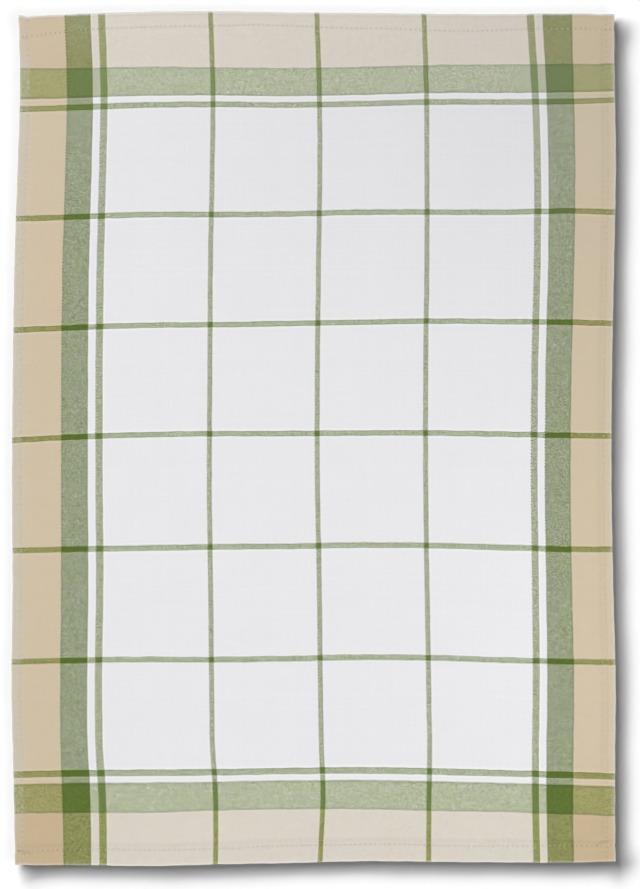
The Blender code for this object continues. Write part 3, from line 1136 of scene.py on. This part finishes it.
def stripes_group(name, stripes, edge_width):
    """Colour of the yarn at a place: white, with stripes of other yarns laid on it."""
    white = (1.0, 1.0, 1.0, 1.0)
    n, (place, soft, ecru_soft, wobble, *dyes) = new_group(
        name, place=0.0, soft=0.001, ecru_soft=0.003, wobble=0.0,
        **dict.fromkeys(stripes, white),
    )
    colour, green, beige, line, edge, beside = white, 0.0, 0.0, 0.0, 0.0, 0.0
    near_place = place + wobble
    for (kind, rows), dye in zip(stripes.items(), dyes):
        run = ecru_soft if kind == "ecru" else soft
        share = 0.0
        for middle, width in rows:
            near = (near_place - (middle - width / 2)) / run
            far = (middle + width / 2 - place) / run
            near, far = (n.maths("ADD", side, 0.5, clamp=True) for side in (near, far))
            share = near * far + share
            if kind in GREENS:
                off = abs(place - middle)
                rim = (edge_width if width > WIDEST_LINE else edge_width / 2) / 2
                at_rim = n.maths("COMPARE", off, width / 2 - rim, rim)
                edge = n.maths("MAXIMUM", at_rim, edge)
                rim = BESIDE_SHARE * edge_width / 2
                at_rim = n.maths("COMPARE", off, width / 2 + rim + BESIDE_GAP, rim)
                beside = n.maths("MAXIMUM", at_rim, beside)
        colour = n.blend(share, colour, dye)
        if kind in GREENS:
            green = n.maths("MAXIMUM", green, share)
            line = share if kind.startswith("line") else line
            beige = (1.0 - share) * beige
        else:
            beige = n.maths("MAXIMUM", beige, share)
    return close_group(n, colour=colour, green=green, beige=beige, line=line, edge=edge,
                       beside=beside * (1.0 - green))


def slub_group():
    """How a yarn varies: its own shade, and its thick and thin stretches."""
    n, (yarn, along, own_shade, stretches) = new_group(
        "Yarn Slub", yarn=0.0, along=0.0, own_shade=0.03, stretches=0.04,
    )
    thickness = n.noise(n.point(yarn * SLUB_APART, along * SLUB_GRAIN), 1.0, 3.0)
    shade = (n.chance(yarn) - 0.5) * own_shade + (thickness - 0.5) * stretches + 1.0
    return close_group(n, shade=shade, thickness=thickness)


def needle_row_group():
    """Needle holes along a row of stitches, and the soft groove that they lie in."""
    n, (off_row, along, pitch) = new_group("Needle Row", off_row=0.0, along=0.0, pitch=0.003)
    off = (n.maths("FRACT", along / pitch + 0.5) - 0.5) * pitch
    return close_group(n, hole=n.hump(off / HOLE_REACH, off_row / HOLE_REACH),
                       groove=n.hump(off_row / GROOVE_REACH))


def crease_shade_group():
    """How near a place is to a short crease: 1 on its line, and 0 away from it."""
    n, (across, along, middle_across, middle_along, half_length, half_width, heading) = new_group(
        "Crease Mark", across=0.0, along=0.0, middle_across=0.0, middle_along=0.0,
        half_length=0.01, half_width=0.001, heading=0.0,
    )
    dx, dy = across - middle_across, along - middle_along
    sine, cosine = n.maths("SINE", heading), n.maths("COSINE", heading)
    run = (dx * cosine + dy * sine) / half_length
    rise = (dy * cosine - dx * sine) / half_width
    return close_group(n, near=n.hump(run, rise))


class ClothNodes(Nodes):
    """Nodes of the cloth's material, and what they share of the place on the flat cloth."""

    def __init__(self, tree):
        super().__init__(tree)
        self.across, self.along = self.places("cloth_plan")
        self.flat = self.point(self.across, self.along, self.attribute("face_side"))
        self.skew = (self.across + self.along) * GRAIN_SKEW
        self.high = self.ramp(self.along, *PALER_END)
        self.rough = 1.0
        at_side = self.maths("GREATER_THAN", abs(self.across), CALM_SIDE)
        for start, end, share in CALM_ENDS:
            calm = self.ramp(self.along, start * MM, end * MM, share)
            self.rough = self.rough - calm * at_side

    def grain(self, across, along, detail):
        """Fine noise round 0, on a lattice so slanted that it shows no rows."""
        lattice = self.point(self.across * across, self.along * along, self.skew)
        return self.noise(lattice, 1.0, detail) - 0.5


def lay_weave(n, yarns):
    """The weave's outputs, and the small steps in the edge of a band."""
    # Each yarn wavers a little from its straight line
    scale, reach = WAVER_ACROSS
    across = n.across + (n.noise(n.flat, scale, 1.0) - 0.5) * reach
    scale, reach = WAVER_ALONG
    along = n.along + (n.noise(n.point(n.along, n.across, 4.0), scale, 1.0) - 0.5) * reach

    # One yarn covers the other more in some spots, and the warp lies close in the selvedges
    (left, left_width), (right, right_width) = WARP_STRIPES["ecru"]
    left, right = left + left_width / 2, right - right_width / 2
    selvedge = n.maths("GREATER_THAN", abs(n.across - (left + right) / 2), (right - left) / 2)
    bias = n.grain(*COVER_GRAIN) * yarns.heather * n.rough + selvedge * yarns.cover
    weave = n.group(plain_weave_group(), across=across, along=along, warp_bias=bias,
                    warp_pitch=yarns.warp_pitch, weft_pitch=yarns.weft_pitch,
                    crossing=yarns.crossing)
    steps = n.maths("SINE", along * (2 * math.pi / (STEP_YARNS * yarns.weft_pitch)))
    return weave, steps


def dye_yarns(n, weave, steps, yarns):
    """The outputs of the warp's stripes and of the weft's."""
    ecru = n.blend(n.ramp(abs(n.along), *WORN_IN_ENDS, yarns.worn_in), yarns.ecru, yarns.beige)
    outputs = []
    for name, kinds, pitch, centre, wobble in (
        ("Warp Stripes", WARP_STRIPES, yarns.warp_pitch, weave.warp_centre, steps * yarns.teeth),
        ("Weft Stripes", WEFT_STRIPES, yarns.weft_pitch, weave.weft_centre, 0.0),
    ):
        dyes = {kind: ecru if kind == "ecru" else getattr(yarns, kind) for kind in kinds}
        outputs.append(n.group(stripes_group(name, kinds, 2 * pitch), place=centre,
                               soft=yarns.soft, ecru_soft=yarns.ecru_soft, wobble=wobble, **dyes))
    return outputs


def cross_yarns(n, weave, warp, weft, yarns):
    """Colour of the crossings: a yarn shows some of the one under it."""
    warp_seen = n.blend(yarns.under_warp, warp.colour, weft.colour, "DARKEN")
    weft_seen = n.blend(yarns.under_weft, weft.colour, warp.colour, "DARKEN")
    colour = n.blend(weave.warp_on_top, weft_seen, warp_seen)
    undyed = 1.0 - n.maths("MAXIMUM", warp.green, warp.beige)
    warp_kinds = {"green": warp.green, "line": warp.line, "beige": warp.beige, "white": undyed}
    weft_kinds = {"green": weft.green, "beige": weft.beige}
    for warp_kind, weft_kind, at_foot, at_top in MEETINGS:
        share = warp_kinds[warp_kind] * weft_kinds[weft_kind]
        colour = n.tint(colour, n.blend(n.high, at_foot, at_top), share)
    return colour


def wear_and_paint_light(n, yarns):
    """How worn the dye is at each place, partly as the rims' painted highlight, and the painted
    light and shade on the cloth there.
    """
    worn_and_highlit, light = n.high * yarns.fade, 1.0
    # Broad soft patches of painted shade and painted light, and of dye worn paler
    for x, y, reach, change, wear_and_highlight in SOFT_SHADES_AND_WEAR:
        near = n.hump((n.across - x * MM) / (reach * MM), (n.along - y * MM) / (reach * MM))
        light = near * change + light
        worn_and_highlit = worn_and_highlit + near * wear_and_highlight
    insets = {
        "foot": n.along + FINISHED_LENGTH / 2,
        "top": FINISHED_LENGTH / 2 - n.along,
        "left": n.across + FINISHED_WIDTH / 2,
        "right": FINISHED_WIDTH / 2 - n.across,
    }
    # Painted highlight and shade lines along the hems; at the rims the highlight is partly dye worn
    # pale
    for side, inset, half_width, change, wear_and_highlight in HEM_LIGHT_AND_WEAR_LINES:
        near = n.hump((insets[side] - inset * MM) / (half_width * MM))
        light = light * (near * change + 1.0)
        worn_and_highlit = worn_and_highlit + near * wear_and_highlight
    # Painted shade and highlight lines of small creases
    crease = crease_shade_group()
    for x, y, half_length, half_width, heading, change in CREASE_SHADES:
        mark = n.group(crease, across=n.across, along=n.along, middle_across=x * MM,
                       middle_along=y * MM, half_length=half_length * MM,
                       half_width=half_width * MM, heading=math.radians(heading))
        light = light * (mark.near * change + 1.0)
    return worn_and_highlit, light


def pierce_cloth(n, cloth, sewing):
    """The needle's holes along the rows of stitches, darkened with painted shade, and the grooves
    that they lie in, with painted shade too.
    """
    off_side = abs(n.across) + (cloth.side_hem - FINISHED_WIDTH / 2)
    needle = needle_row_group()
    holes, grooves = 0.0, 0.0
    for off_row, along, pitch, dark in (
        (n.attribute("off_end_row"), n.across, sewing.end_pitch, sewing.end_hole_shade),
        (off_side, n.along, sewing.side_pitch, sewing.side_hole_shade),
    ):
        row = n.group(needle, off_row=off_row, along=along, pitch=pitch)
        holes = n.maths("MAXIMUM", row.hole * dark, holes)
        grooves = n.maths("MAXIMUM", row.groove, grooves)
    return holes, grooves


def new_material(name, kind=Nodes):
    material = bpy.data.materials.new(name)
    material.use_nodes = True
    return material, kind(material.node_tree)


def set_surface(n, surface, relief=None, strength=1.0, distance=1.0):
    """Feeds a material's shader, and a bump on it from this relief."""
    shader = n.tree.nodes["Principled BSDF"]
    if relief:
        bump = {"Height": relief, "Strength": strength, "Distance": distance}
        surface["Normal"] = n.value("ShaderNodeBump", bump)
    for name, value in surface.items():
        n.feed(shader.inputs[name], value)


def cloth_material(cloth, yarns, sewing):
    """Woven cotton, its colours by yarn and worn, with painted light and shade on its hems,
    creases, yarn crowns, needle holes and broad patches, and pierced.
    """
    material, n = new_material("woven_cotton", ClothNodes)
    weave, steps = lay_weave(n, yarns)
    warp, weft = dye_yarns(n, weave, steps, yarns)
    worn_and_highlit, light = wear_and_paint_light(n, yarns)
    holes, grooves = pierce_cloth(n, cloth, sewing)
    colour = n.blend(worn_and_highlit, cross_yarns(n, weave, warp, weft, yarns), WEAR_AND_HIGHLIGHT_COLOUR)
    colour = n.tint(colour, yarns.white)

    # Fine fibres, faint clouds from washing, and the yarns' own shades
    fibres = n.noise(n.flat, FIBRE_GRAIN, 2.0)
    clouds = n.noise(n.flat, CLOUD_GRAIN, 3.0)
    slub = slub_group()
    warp_slub = n.group(slub, yarn=weave.warp_yarn, along=n.along)
    weft_slub = n.group(slub, yarn=weave.weft_yarn, along=n.across)
    shade = weft_slub.shade + (warp_slub.shade - weft_slub.shade) * weave.warp_on_top
    tone = (fibres - 0.5) * FIBRE_SHADE + (clouds - 0.5) * CLOUD_SHADE + shade
    # Painted shade between the yarns' crowns, and the painted light and shade of the broad patches,
    # hems and creases
    tone = tone * ((weave.height - MEAN_CROWN) * CROWN_SHADE + 1.0) * light

    # Green yarns took their dye unevenly, which shows least where only they meet
    share = weft.green * WEFT_UNEVEN + warp.green - warp.green * weft.green * BOTH_UNEVEN
    tone = tone * (n.grain(*DYE_GRAIN) * share * yarns.uneven * n.rough + 1.0)
    patches = (n.noise(n.flat, PATCH_GRAIN, 1.0) - 0.5) * share * yarns.patchy
    colour = n.tint(colour, n.point(patches * PATCH_RED + 1.0, 1.0, patches + 1.0))

    # The outer yarns of a green stripe lie close, and those beside it look paler
    edge = n.maths("MAXIMUM", warp.edge * (steps * STEP_RIM + 1.0), weft.edge)
    beside = n.maths("MAXIMUM", warp.beside, weft.beside)
    tone = tone * (1.0 - edge * yarns.edge) * (beside * yarns.beside + 1.0)
    # Painted shade in the needle holes and in the grooves of the rows
    tone = tone * (1.0 - (holes + grooves * GROOVE_SHADE))

    relief = weave.height * CROWN_RELIEF + fibres * FIBRE_RELIEF - holes * HOLE_RELIEF
    relief = relief + (warp_slub.thickness + weft_slub.thickness) * SLUB_RELIEF
    set_surface(n, {
        "Base Color": n.tint(colour, n.grey(tone)),
        "Roughness": weave.height * -0.06 + 0.94,
        "Specular IOR Level": 0.25,
        "Sheen Weight": 0.12,
        "Sheen Roughness": 0.6,
    }, relief, strength=0.6)
    return material


def thread_material(name, dye):
    """Twisted sewing thread, each stitch of its own shade."""
    material, n = new_material(name)
    lay, side = n.places("thread_lay")
    along, around = THREAD_TWISTS
    twist = n.maths("SINE", (lay * along + side * around) * (2 * math.pi))
    own_shade = n.chance(n.maths("FLOOR", lay)) * THREAD_SHADE
    tone = (twist - 1.0) * TWIST_SHADE + own_shade + 1.0
    set_surface(n, {
        "Base Color": n.tint(dye, n.grey(tone)),
        "Roughness": twist * -0.06 + 0.62,
        "Specular IOR Level": 0.35,
        "Sheen Weight": 0.1,
    }, twist, strength=0.5, distance=0.05 * MM)
    return material


def table_material(stage):
    """A plain pale table top, with a faint grain."""
    material, n = new_material("pale_table")
    grain = n.noise(n.value("ShaderNodeTexCoord", output="Object"), 3.0, 2.0)
    set_surface(n, {
        "Base Color": n.tint(stage.table_colour, n.grey(grain * 0.01 + 0.995)),
        "Roughness": 0.9,
        "Specular IOR Level": 0.1,
    })
    return material


# ---------------------------------------------------------------- operators

def link(name, data):
    piece = bpy.data.objects.new(name, data)
    bpy.context.scene.collection.objects.link(piece)
    return piece


def add_sun(name, heading, height, spread, strength, lit):
    """A soft distant light, at this heading and height in degrees, on these pieces only."""
    data = bpy.data.lights.new(name, "SUN")
    data.energy = strength
    data.angle = math.radians(spread)
    light = link(name, data)
    light.rotation_euler = (
        math.radians(90.0 - height), 0.0, math.radians(heading + 90.0)
    )
    receivers = bpy.data.collections.new(name + "_on")
    for piece in lit:
        receivers.objects.link(piece)
    light.light_linking.receiver_collection = receivers


class TOWEL_OT_stitches(bpy.types.Operator):
    """Sews the rows of stitches along the four hems"""

    bl_idname = "towel.stitches"
    bl_label = "Sew the Hems"

    def execute(self, context):
        scene = context.scene
        mesh = build_stitch_mesh(scene.towel_cloth, scene.towel_stitches)
        yarns = scene.towel_yarns
        mesh.materials.append(thread_material("sewing_thread", yarns.thread))
        mesh.materials.append(thread_material("thread_ends", yarns.thread_end))
        stitches = link("hem_stitches", mesh)
        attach(stitches, "root")
        return {"FINISHED"}


class TOWEL_OT_cloth(bpy.types.Operator):
    """Weaves the towel and turns its hems"""

    bl_idname = "towel.cloth"
    bl_label = "Weave the Cloth"

    def execute(self, context):
        scene = context.scene
        mesh, flat = build_cloth_mesh(scene.towel_cloth)
        mesh.materials.append(
            cloth_material(scene.towel_cloth, scene.towel_yarns, scene.towel_stitches)
        )
        towel = link("towel_cloth", mesh)
        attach(towel, "root")
        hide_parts("tea_towel")
        return {"FINISHED"}


class TOWEL_OT_stage(bpy.types.Operator):
    """Sets the table, the soft lights and the camera"""

    bl_idname = "towel.stage"
    bl_label = "Set the Stage"

    def execute(self, context):
        scene = context.scene
        stage = scene.towel_stage
        half = stage.table_half
        floor_mesh = bpy.data.meshes.new("table_top")
        corners = [(-half, -half, 0), (half, -half, 0), (half, half, 0), (-half, half, 0)]
        floor_mesh.from_pydata(corners, [], [(0, 1, 2, 3)])
        floor_mesh.materials.append(table_material(stage))
        table = link("table_top", floor_mesh)

        world = bpy.data.worlds.new("soft_surround")
        world.use_nodes = True
        background = world.node_tree.nodes["Background"]
        background.inputs["Color"].default_value = (1.0, 1.0, 1.0, 1.0)
        # Past the table's far edge the surround looks as pale as the table does
        n = Nodes(world.node_tree)
        seen = n.value("ShaderNodeLightPath", output="Is Camera Ray")
        n.feed(background.inputs["Strength"], seen * (1.0 - stage.surround) + stage.surround)
        scene.world = world

        cloth = [bpy.data.objects["towel_cloth"], bpy.data.objects["hem_stitches"]]
        add_sun("overhead", *OVERHEAD_LIGHT, stage.overhead, cloth)
        for name, middle, fan, count, height, spread, share in SKIM_LIGHTS:
            strength = stage.low_light * share / count * math.pi
            strength /= math.sin(math.radians(height))
            for heading in np.linspace(middle - fan / 2, middle + fan / 2, count):
                add_sun(name, heading, height, spread, strength, [table])

        camera_data = bpy.data.cameras.new("camera")
        camera = link("camera", camera_data)
        shift_x, shift_y = centre_shift()
        across = (stage.picture_width / 2 - stage.centre_across) * stage.scale
        down = (stage.picture_height / 2 - stage.centre_down) * stage.scale
        camera.location = (across - shift_x, -down - shift_y, stage.camera_height)
        view = stage.scale * stage.picture_height
        camera_data.sensor_width = 36.0
        camera_data.lens = camera_data.sensor_width * stage.camera_height / view
        scene.camera = camera
        scene.view_settings.view_transform = "Standard"
        return {"FINISHED"}


class TOWEL_PT_panel(bpy.types.Panel):
    """Lists the towel's pieces in the sidebar"""

    bl_idname = "TOWEL_PT_panel"
    bl_label = "Tea Towel"
    bl_space_type = "VIEW_3D"
    bl_region_type = "UI"
    bl_category = "Towel"

    def draw(self, context):
        for operator in (TOWEL_OT_stitches, TOWEL_OT_cloth, TOWEL_OT_stage):
            self.layout.operator(operator.bl_idname)
        for group in SETTINGS:
            settings = getattr(context.scene, group)
            box = self.layout.box()
            for name in settings.bl_rna.properties.keys():
                if name not in ("rna_type", "name"):
                    box.prop(settings, name)


CLASSES = (
    TowelCloth, TowelYarns, TowelStitches, TowelStage,
    TOWEL_OT_stitches, TOWEL_OT_cloth, TOWEL_OT_stage, TOWEL_PT_panel,
)
SETTINGS = {
    "towel_cloth": TowelCloth,
    "towel_yarns": TowelYarns,
    "towel_stitches": TowelStitches,
    "towel_stage": TowelStage,
}


def register():
    for one in CLASSES:
        bpy.utils.register_class(one)
    for name, group in SETTINGS.items():
        setattr(bpy.types.Scene, name, bpy.props.PointerProperty(type=group))


def unregister():
    for name in SETTINGS:
        delattr(bpy.types.Scene, name)
    for one in reversed(CLASSES):
        bpy.utils.unregister_class(one)


def main():
    register()
    bpy.ops.towel.stitches()
    bpy.ops.towel.cloth()
    bpy.ops.towel.stage()


if __name__ == "__main__":
    main()
